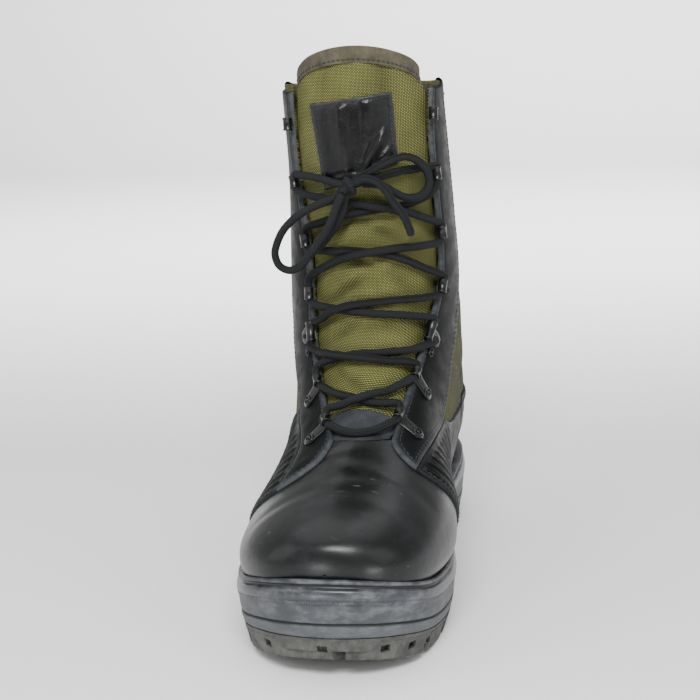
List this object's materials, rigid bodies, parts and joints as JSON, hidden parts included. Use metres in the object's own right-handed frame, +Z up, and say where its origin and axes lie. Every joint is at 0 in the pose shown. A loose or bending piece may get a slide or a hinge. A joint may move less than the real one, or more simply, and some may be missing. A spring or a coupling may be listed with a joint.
{
  "type": "combat boot",
  "caption": "Hot-weather combat boot for the right foot: polished leather vamp, nylon shaft and tongue, laced through metal loops, on a moulded sole with a lugged tread.",
  "frame": {"origin": "on the floor, below the middle of everything but the bow's free cords", "axes": "+X to the inner (medial) side, +Y to the heel with the toe at -Y, +Z up"},
  "size_m": [0.1188, 0.306, 0.3097],
  "materials": {
    "tread_rubber": "dusty",
    "sole_rubber": "satin",
    "sock_felt": "matte",
    "nylon": "woven",
    "tape": "woven",
    "black_leather": "polished",
    "black_steel": "satin",
    "lace_cord": "braided"
  },
  "bodies": {
    "root": {"outsole": "tread_rubber", "midsole": "sole_rubber", "insole": "sock_felt", "upper": "nylon", "tongue": "nylon", "tongue_tape": "tape", "tongue_patch": "black_leather", "facing_lateral": "black_leather", "facing_medial": "black_leather", "quarter_panel_lateral": "black_leather", "quarter_panel_medial": "black_leather", "heel_counter": "black_leather", "backstay": "black_leather", "collar_binding": "tape", "eyelet_lateral_1": "black_steel", "eyelet_lateral_2": "black_steel", "eyelet_lateral_3": "black_steel", "eyelet_lateral_4": "black_steel", "eyelet_lateral_5": "black_steel", "eyelet_lateral_6": "black_steel", "eyelet_lateral_7": "black_steel", "eyelet_medial_1": "black_steel", "eyelet_medial_2": "black_steel", "eyelet_medial_3": "black_steel", "eyelet_medial_4": "black_steel", "eyelet_medial_5": "black_steel", "eyelet_medial_6": "black_steel", "eyelet_medial_7": "black_steel", "lace_bar": "lace_cord", "lace_crossing_1": "lace_cord", "lace_crossing_2": "lace_cord", "lace_crossing_3": "lace_cord", "lace_crossing_4": "lace_cord", "lace_crossing_5": "lace_cord", "lace_to_knot_lateral": "lace_cord", "lace_to_knot_medial": "lace_cord", "lace_knot": "lace_cord", "lace_bow_loop_lateral": "lace_cord", "lace_bow_loop_medial": "lace_cord", "lace_end_lateral": "lace_cord", "lace_end_medial": "lace_cord"}
  },
  "joints": []
}
